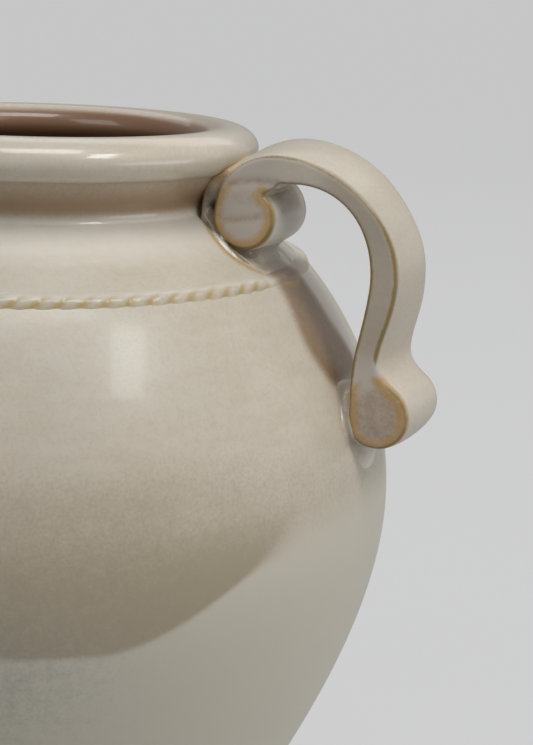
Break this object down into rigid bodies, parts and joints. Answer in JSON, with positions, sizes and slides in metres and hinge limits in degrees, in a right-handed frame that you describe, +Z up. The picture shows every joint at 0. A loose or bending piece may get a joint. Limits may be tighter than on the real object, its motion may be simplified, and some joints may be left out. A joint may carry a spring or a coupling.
{
  "type": "two-handled ceramic jar",
  "caption": "Round-bellied glazed stoneware jar with a thick rolled collar, a tooled shoulder band and scrolled strap handles.",
  "frame": {"origin": "centre of the foot, on the surface that the jar stands on", "axes": "+Z up the jar's axis; the two handles lie on +X and -X; +Y is square to them"},
  "size_m": [0.292, 0.26, 0.2996],
  "materials": {
    "bare_clay": "unglazed fired clay, matt and slightly gritty",
    "belly_glaze": "glossy oatmeal glaze, greyer and greener to the foot",
    "shoulder_glaze": "glossy cream glaze",
    "band_glaze": "cream glaze broken to amber on the tooled nicks",
    "handle_glaze": "cream glaze broken to amber along the edges",
    "pooled_glaze": "thick blue-grey pooled glaze, very glossy"
  },
  "bodies": {
    "root": {"foot_ring": "bare_clay", "belly": "belly_glaze", "neck_shoulder": "shoulder_glaze", "rim_collar": "shoulder_glaze", "tooled_band": "band_glaze", "handle_right": "handle_glaze", "handle_left": "handle_glaze", "upper_lute_right": "pooled_glaze", "upper_lute_left": "pooled_glaze", "lower_lute_right": "pooled_glaze", "lower_lute_left": "pooled_glaze"}
  },
  "joints": []
}
